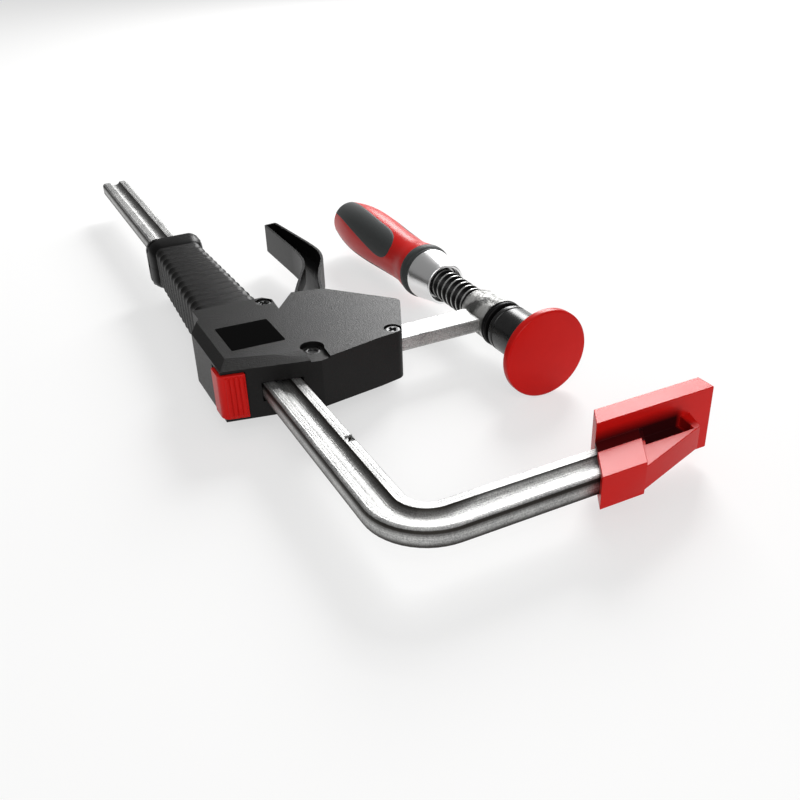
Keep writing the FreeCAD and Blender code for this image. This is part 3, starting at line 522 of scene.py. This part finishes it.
def handleRadius(place):
    start, (waist, waistRadius), (belly, bellyRadius) = handle["start"], handle["waist"], handle["belly"]
    tip, tipRadius = handle["tip"]
    if place < waist:
        startRadius = handle["startRadius"]
        return startRadius + (waistRadius - startRadius) * easedShare((place - start) / (waist - start))
    if place < belly:
        return waistRadius + (bellyRadius - waistRadius) * easedShare((place - waist) / (belly - waist))
    if place < tip:
        return bellyRadius + (tipRadius - bellyRadius) * ((place - belly) / (tip - belly)) ** 2
    share = min((place - tip) / (handle["end"] - tip), 1.0)
    return handle["crown"] + (tipRadius - handle["crown"]) * math.sqrt(1 - share ** handle["tipPower"])


def buildHandle():
    profile = [(handle["start"], 0, 0)]
    for index in range(handle["stations"] + 1):
        share = index / handle["stations"]
        place = handle["start"] + (handle["end"] - handle["start"]) * (1 - (1 - share) ** handle["crowding"])
        profile.append((place, handleRadius(place), 0))
    profile.append((handle["end"], 0, 0))
    seat(turned(profile, steps=handle["steps"]), "handleBody", "redPlastic", "spindle", ["handle_core"],
         smoothAngle=smooth["round"])
    for index in range(inlay["count"]):
        mesh = bmesh.new()
        bmesh.ops.create_grid(mesh, x_segments=inlay["across"], y_segments=inlay["along"], size=0.5)
        first, last = [math.radians(turn + index * 360 / inlay["count"]) for turn in inlay["turn"]]
        length = inlay["end"] - inlay["start"]
        for vertex in mesh.verts:
            across, along = vertex.co.x * 2, vertex.co.y + 0.5
            place = inlay["start"] + length * along ** inlay["crowding"]
            full = inlay["halfWidth"] + (inlay["endWidth"] - inlay["halfWidth"]) * along
            gone = max(0.0, 1 - (place - inlay["start"]) / inlay["round"])
            width = full * math.sqrt(max(1 - gone ** 2, 0.0))
            radius = handleRadius(place)
            rim = min(width * (1 - abs(across)), place - inlay["start"], inlay["end"] - place)
            rise = min(max(rim / inlay["roll"], 0.0), 1.0)
            radius += inlay["proud"] - (inlay["proud"] + inlay["sink"]) * (1 - rise) ** 2
            angle = first + (last - first) * (place - inlay["start"]) / length + across * width / radius
            vertex.co = Vector((radius * math.cos(angle), place, radius * math.sin(angle))) * mm
        settle(mesh)
        bmesh.ops.solidify(mesh, geom=list(mesh.faces), thickness=inlay["thick"] * mm)
        bmesh.ops.recalc_face_normals(mesh, faces=mesh.faces)
        seat(mesh, "handleInlay%d" % (index + 1), "softGrey", "spindle", ["handle_inlays"], smoothAngle=smooth["inlay"])
    seat(turned(ferrule["profile"], closed=True), "ferruleCone", "chrome", "spindle", ["ferrule"])
    seat(turned(gripRing["profile"], closed=True), "handleCollar", "softGrey", "spindle", ["handle_ring"])
    print("spindle and handle built")


# Swivel pad
swivel = {"socket": [(66.0, 0, 0), (66.0, 17.0, 0.2), (67.5, 17.0, 0.4), (69.0, 12.8, 0.8), (71.0, 10.8, 0.6),
                     (90.6, 10.8, 0.2), (90.9, 10.4, 0.1), (91.5, 10.4, 0.1), (91.8, 10.8, 0.2), (94.5, 10.8, 0.9),
                     (94.6, 7.9, 0.3), (87.0, 6.2, 0.3), (80.0, 8.4, 0), (72.0, 0, 0)],
          "capSteps": 128,
          "cap": [(64.0, 0, 0), (64.0, 19.75, 1.0), (67.6, 19.75, 0.4), (67.6, 17.2, 0.2), (66.05, 17.2, 0),
                  (66.05, 0, 0)]}


def buildSwivel():
    seat(turned(swivel["socket"]), "swivelSocket", "blackOxide", "pad", ["swivel_socket"])
    seat(turned(swivel["cap"], steps=swivel["capSteps"]), "padCap", "redPlastic", "pad", ["pad_cap"])


# Sliding arm: the bar in view, its boss and the ring in front of it
arm = {"left": -62.0, "bar": (102.8, 116.8), "halfThick": 3.2, "cut": -60.0, "ease": 0.9, "steps": 96,
       "boss": [(100.0, 7.6, 0.2), (100.0, 10.4, 0.5), (102.2, 10.4, 0.4), (103.0, 10.2, 0.3), (115.0, 10.3, 3.0),
                (122.0, 8.3, 1.2), (122.0, 7.6, 0.2)],
       "ring": [(97.0, 7.9, 0), (97.0, 10.5, 0.4), (98.1, 10.9, 0.4), (98.5, 10.5, 0.15), (98.9, 10.5, 0.15),
                (99.3, 10.9, 0.3), (100.0, 10.9, 0.3), (100.0, 7.9, 0)]}


def buildArm():
    mesh = bmesh.new()
    front, back = arm["bar"]
    outline = [(arm["left"], front, 0), (0.0, front, 0), (0.0, back, 0), (arm["left"], back, 0)]
    raiseFace(mesh, outlineFace(mesh, outline, -arm["halfThick"]), 2 * arm["halfThick"])
    long = [edge for edge in mesh.edges if abs((edge.verts[0].co - edge.verts[1].co).x) > arm["halfThick"] * mm]
    bmesh.ops.subdivide_edges(mesh, edges=long, cuts=1)
    settle(mesh)
    soften(seat(mesh, "armBar", "zinc", "carriage", ["sliding_arm"]), arm["ease"])
    mesh = cadCopy("sliding_arm")
    cutAt(mesh, (arm["cut"], 0, 0), (1, 0, 0))
    seat(mesh, "armHead", "zinc", "carriage", ["sliding_arm"])
    seat(turned(arm["boss"], closed=True, steps=arm["steps"]), "armBoss", "cast", "carriage", ["sliding_arm"])
    seat(turned(arm["ring"], closed=True, steps=arm["steps"]), "bossRing", "leverPlastic", "carriage", ["boss_ring"])
    print("arm built")


# Jaw cap
jaw = {"ease": 0.45}


def buildJaw():
    soften(seat(cadCopy("jaw_cap"), "jawCap", "redJaw", "rail", ["jaw_cap"]), jaw["ease"])


# Housing, its bare plate, and the ribbed grip
housing = {"rear": 157.0, "collar": 256.6, "ease": 0.4, "tailEase": 0.3, "roofLeft": (-127.1, 13.2),
           "roofRight": (-38.0, 10.8)}
barePlate = {"outline": [(-122.3, 109.9, 0.6), (-99.2, 109.9, 0.6), (-99.2, 133.4, 0.6), (-122.3, 133.4, 0.6)],
             "rise": 0.16, "sink": 0.3, "ease": 0.08}
grip = {"front": 150.0, "rear": 248.6, "frontPlace": 146.0, "rearPlace": 248.0, "frontHalf": (15.2, 12.1),
        "rearHalf": (12.0, 11.2), "corner": 3.8, "skew": -1.3, "railX": -108.0, "ribsFrom": 156.5, "ribsTo": 245.5,
        "ribs": 13, "depth": 0.55, "wall": 1.8, "halfSeam": 0.07,
        "wave": [(0.0, 1.0), (0.07, 0.88), (0.17, 0.4), (0.28, 0.1), (0.42, 0.0), (0.66, 0.0), (0.8, 0.16),
                 (0.92, 0.72)]}
collar = {"front": 247.8, "rear": 256.8, "half": (14.6, 13.0), "corner": 6.0, "roll": 2.9, "throat": 3.5,
          "steps": 12, "wall": 2.6}


def roofHeight(x):
    (x0, z0), (x1, z1) = housing["roofLeft"], housing["roofRight"]
    return z0 + (x - x0) / (x1 - x0) * (z1 - z0)


def buildHousing():
    for side, name in (("upper", "upper_shell"), ("lower", "lower_shell")):
        mesh = cadCopy(name)
        tail = cadCopy(name)
        cutAt(mesh, (0, housing["rear"], 0), (0, 1, 0))
        cutAt(tail, (0, housing["collar"], 0), (0, 1, 0), keepBelow=False)
        shell = seat(mesh, side + "Housing", "blackPlastic", "carriage", [name], smoothAngle=smooth["facets"])
        soften(shell, housing["ease"], angle=smooth["facets"])
        soften(seat(tail, side + "CollarEnd", "leverPlastic", "carriage", [name]), housing["tailEase"])
    mesh = bmesh.new()
    raiseFace(mesh, outlineFace(mesh, barePlate["outline"], -barePlate["sink"]), barePlate["sink"] + barePlate["rise"])
    for vertex in mesh.verts:
        vertex.co.z += roofHeight(vertex.co.x / mm) * mm
    settle(mesh)
    soften(seat(mesh, "barePlate", "glossPlate", "carriage"), barePlate["ease"], segments=2)
    print("housing built")


def gripStations():
    # (place along Y, half width, half height, centre) of each ring of the ribbed sleeve
    (wide, high), (narrow, low) = grip["frontHalf"], grip["rearHalf"]
    pitch = (grip["ribsTo"] - grip["ribsFrom"]) / grip["ribs"]
    dips = [(grip["front"], 0.0)]
    for index in range(grip["ribs"]):
        for share, height in grip["wave"]:
            dips.append((grip["ribsFrom"] + (index + share) * pitch, (1 - height) * grip["depth"]))
    dips += [(grip["ribsTo"], 0.0), (grip["rear"], 0.0)]
    stations = []
    for place, dip in dips:
        share = (place - grip["frontPlace"]) / (grip["rearPlace"] - grip["frontPlace"])
        stations.append((place, wide + (narrow - wide) * share - dip, high + (low - high) * share - dip,
                         grip["railX"] + grip["skew"] * (1 - share)))
    return stations


def collarStations():
    # the collar swells from the grip to its full size near its rear end
    wide, high = collar["half"]
    stations = [(collar["front"], wide - collar["throat"], high - collar["throat"], grip["railX"])]
    for index in range(collar["steps"] + 1):
        turn = math.pi / 2 * index / collar["steps"]
        inset = collar["roll"] * (1 - math.sin(turn))
        place = collar["front"] + (collar["rear"] - collar["front"]) * (1 - math.cos(turn))
        stations.append((place, wide - inset, high - inset, grip["railX"]))
    return stations


def buildSleeve(stations, corner, wall, name, finish):
    # two half sleeves, each a chain of rounded rings joined by extrusion
    first, wide, high, centre = stations[0]
    for side, half in ((1, "upper"), (-1, "lower")):
        mesh = bmesh.new()
        outline = [(-wide, -high, corner), (wide, -high, corner), (wide, high, corner), (-wide, high, corner)]
        bmesh.ops.delete(mesh, geom=[outlineFace(mesh, outline, 0.0)], context="FACES_ONLY")
        loop = list(mesh.edges)
        section = {vertex: vertex.co.copy() for vertex in mesh.verts}
        for number, (place, halfX, halfZ, centre) in enumerate(stations):
            if number:
                spots = {vertex.co.copy().freeze(): spot for vertex, spot in section.items()}
                made = bmesh.ops.extrude_edge_only(mesh, edges=loop)["geom"]
                loop = [item for item in made if isinstance(item, bmesh.types.BMEdge)]
                section = {item: spots[item.co.copy().freeze()] for item in made
                           if isinstance(item, bmesh.types.BMVert)}
            for vertex, spot in section.items():
                x = spot.x + math.copysign(1, spot.x) * (halfX - wide) * mm
                z = spot.y + math.copysign(1, spot.y) * (halfZ - high) * mm
                vertex.co = (centre * mm + x, place * mm, z)
        settle(mesh, weld=0.001)
        bmesh.ops.bisect_plane(mesh, geom=list(mesh.verts) + list(mesh.edges) + list(mesh.faces),
                               plane_co=(0, 0, side * grip["halfSeam"] * mm), plane_no=(0, 0, side), clear_inner=True)
        bmesh.ops.solidify(mesh, geom=list(mesh.faces), thickness=wall * mm)
        bmesh.ops.recalc_face_normals(mesh, faces=mesh.faces)
        seat(mesh, half + name, finish, "carriage", [half + "_shell"], smoothAngle=smooth["sleeve"])


def buildGrip():
    buildSleeve(gripStations(), grip["corner"], grip["wall"], "Grip", "blackPlastic")
    buildSleeve(collarStations(), collar["corner"], collar["wall"], "Collar", "leverPlastic")
    print("grip built")


# Lever: a bent arm with raised rims, and its root round the rail
lever = {"half": 7.6, "rim": 1.25, "upperWeb": -0.5, "lowerWeb": -3.0, "cut": -95.0, "ease": 0.35,
         "outline": [(-96.5, 120.75, 0), (-85.0, 120.95, 2.5), (-77.2, 129.7, 3.0), (-63.2, 155.5, 9.0),
                     (-55.2, 180.5, 9.0), (-42.2, 204.5, 10.0), (-42.6, 222.0, 6.0), (-47.0, 264.2, 1.2),
                     (-48.0, 265.0, 0.5), (-54.4, 264.3, 1.2), (-54.3, 216.0, 6.0), (-56.0, 199.0, 8.0),
                     (-73.6, 167.2, 9.0), (-80.6, 152.0, 6.0), (-82.9, 140.0, 4.0), (-86.3, 128.0, 3.0),
                     (-96.5, 125.6, 0)]}


def sinkFace(mesh, face, rim, depth):
    # a recess or a dimple: the face is inset, moved and its old place opened
    bmesh.ops.inset_region(mesh, faces=[face], thickness=rim * mm, use_even_offset=True)
    raiseFace(mesh, face, depth)
    bmesh.ops.delete(mesh, geom=[face], context="FACES_ONLY")


def buildLever():
    mesh = bmesh.new()
    low = outlineFace(mesh, lever["outline"], -lever["half"])
    top = raiseFace(mesh, low, 2 * lever["half"])
    low = min(mesh.faces, key=lambda face: face.calc_center_median().z)
    sinkFace(mesh, top, lever["rim"], lever["upperWeb"] - lever["half"])
    sinkFace(mesh, low, lever["rim"], lever["half"] + lever["lowerWeb"])
    settle(mesh)
    soften(seat(mesh, "leverArm", "leverPlastic", "lever", ["lever"]), lever["ease"])
    mesh = cadCopy("lever")
    cutAt(mesh, (lever["cut"], 0, 0), (1, 0, 0))
    seat(mesh, "leverRoot", "leverPlastic", "lever", ["lever"])
    print("lever built")


# Release button: an L-shaped cap with four rounded ribs, and its stem
button = {"half": 9.8, "ease": 0.9, "slope": -9.0 / 39.5, "corner": (-131.5, 97.5), "proud": 1.3,
          "outline": [(-132.8, 106.5, 0.4), (-132.8, 96.5, 3.0), (-122.3, 94.1, 0.5), (-122.3, 96.5, 0),
                      (-130.4, 98.4, 0), (-130.4, 106.5, 0.4)],
          "ribs": (-129.5, -127.6, -125.7, -123.8), "ribRadius": 0.95, "ribFlat": 0.55, "ribHalf": 9.0,
          "ribEase": 0.7, "ribSteps": 24,
          "stem": [(-129.7, 96.3, 0), (-124.7, 96.3, 0), (-124.7, 99.2, 0.3), (-129.7, 99.2, 0.3)], "stemHalf": 6.0}


def buildButton():
    mesh = bmesh.new()
    raiseFace(mesh, outlineFace(mesh, button["outline"], -button["half"]), 2 * button["half"])
    settle(mesh)
    soften(seat(mesh, "releaseButton", "redPlastic", "button", ["release_button"]), button["ease"], segments=4)
    mesh = bmesh.new()
    for x in button["ribs"]:
        y = button["corner"][1] + (x - button["corner"][0]) * button["slope"] - button["proud"]
        made = bmesh.ops.create_cone(mesh, cap_ends=True, segments=button["ribSteps"],
                                     radius1=button["ribRadius"] * mm, radius2=button["ribRadius"] * mm,
                                     depth=2 * button["ribHalf"] * mm)["verts"]
        caps = [edge for edge in mesh.edges if edge.verts[0] in made and edge.verts[1] in made
                and abs(edge.verts[0].co.z - edge.verts[1].co.z) < button["ribHalf"] * mm]
        eased = bmesh.ops.bevel(mesh, geom=caps, offset=button["ribEase"] * mm, segments=3, profile=0.5,
                                affect="EDGES", material=-1)
        whole = set(eased["verts"]) | {vertex for vertex in made if vertex.is_valid}
        bmesh.ops.scale(mesh, verts=list(whole), vec=(1, button["ribFlat"], 1))
        bmesh.ops.translate(mesh, verts=list(whole), vec=(x * mm, y * mm, 0))
    settle(mesh, weld=0.001)
    seat(mesh, "buttonRibs", "redPlastic", "button", smoothAngle=smooth["round"])
    mesh = bmesh.new()
    raiseFace(mesh, outlineFace(mesh, button["stem"], -button["stemHalf"]), 2 * button["stemHalf"])
    settle(mesh)
    seat(mesh, "buttonStem", "redPlastic", "button")
    print("button built")


# Housing screws with a cross recess, and the brake plate's anchor pin
screws = {"places": [(-54.9, 99.5, 20.0), (-94.0, 152.0, 50.0)], "sink": 0.6, "head": 1.8, "radius": 3.3, "ease": 0.35,
          "steps": 48, "slot": (2.0, 0.55), "slotDepth": 1.1, "shank": 1.5, "shankSteps": 32, "shankEase": 0.2,
          "foot": -7.0}
anchor = {"place": (-92.0, 98.6), "radius": 3.4, "low": -9.7, "top": 10.3, "ease": 0.5, "dimple": (1.5, 0.6),
          "steps": 48}


def rod(mesh, x, y, low, high, radius, steps):
    bmesh.ops.create_cone(mesh, cap_ends=True, segments=steps, radius1=radius * mm, radius2=radius * mm,
                          depth=(high - low) * mm)
    bmesh.ops.translate(mesh, verts=mesh.verts, vec=(x * mm, y * mm, (low + high) / 2 * mm))


def buildScrews():
    for number, (x, y, turn) in enumerate(screws["places"]):
        mesh = bmesh.new()
        reach, half = screws["slot"]
        bmesh.ops.create_circle(mesh, cap_ends=False, segments=screws["steps"], radius=screws["radius"] * mm)
        rimEdges = list(mesh.edges)
        star = [(reach, -half), (reach, half), (half, half), (half, reach), (-half, reach), (-half, half),
                (-reach, half), (-reach, -half), (-half, -half), (-half, -reach), (half, -reach), (half, -half)]
        corners = [mesh.verts.new((u * mm, v * mm, 0)) for u, v in star]
        starEdges = [mesh.edges.new(pair) for pair in zip(corners, corners[1:] + corners[:1])]
        bmesh.ops.triangle_fill(mesh, use_beauty=True, edges=rimEdges + starEdges, normal=(0, 0, 1))
        for loop, depth in ((starEdges, screws["slotDepth"]), (rimEdges, screws["head"])):
            made = bmesh.ops.extrude_edge_only(mesh, edges=loop)["geom"]
            bmesh.ops.translate(mesh, verts=[item for item in made if isinstance(item, bmesh.types.BMVert)],
                                vec=(0, 0, -depth * mm))
            bmesh.ops.contextual_create(mesh, geom=[item for item in made if isinstance(item, bmesh.types.BMEdge)])
        settle(mesh, weld=0.001)
        top = roofHeight(x) - screws["sink"]
        bmesh.ops.rotate(mesh, verts=mesh.verts, cent=(0, 0, 0), matrix=Matrix.Rotation(math.radians(turn), 3, "Z"))
        bmesh.ops.translate(mesh, verts=mesh.verts, vec=(x * mm, y * mm, top * mm))
        soften(seat(mesh, "screwHead%d" % (number + 1), "blackOxide", "carriage", ["shell_screws"]), screws["ease"])
        mesh = bmesh.new()
        rod(mesh, x, y, screws["foot"], top - screws["head"], screws["shank"], screws["shankSteps"])
        shank = seat(mesh, "screwShank%d" % (number + 1), "blackOxide", "carriage", ["shell_screws"])
        soften(shank, screws["shankEase"])
    mesh = bmesh.new()
    rod(mesh, *anchor["place"], anchor["low"], anchor["top"], anchor["radius"], anchor["steps"])
    rim, depth = anchor["dimple"]
    sinkFace(mesh, max(mesh.faces, key=lambda face: face.calc_center_median().z), rim, -depth)
    settle(mesh, weld=0.001)
    soften(seat(mesh, "anchorPin", "blackOxide", "carriage", ["brake_anchor"]), anchor["ease"])
    print("screws built")


placeCamera()
buildStudio()
dressNodes()
buildSpindle()
buildHandle()
buildSwivel()
buildArm()
buildJaw()
buildHousing()
buildGrip()
buildLever()
buildButton()
buildScrews()
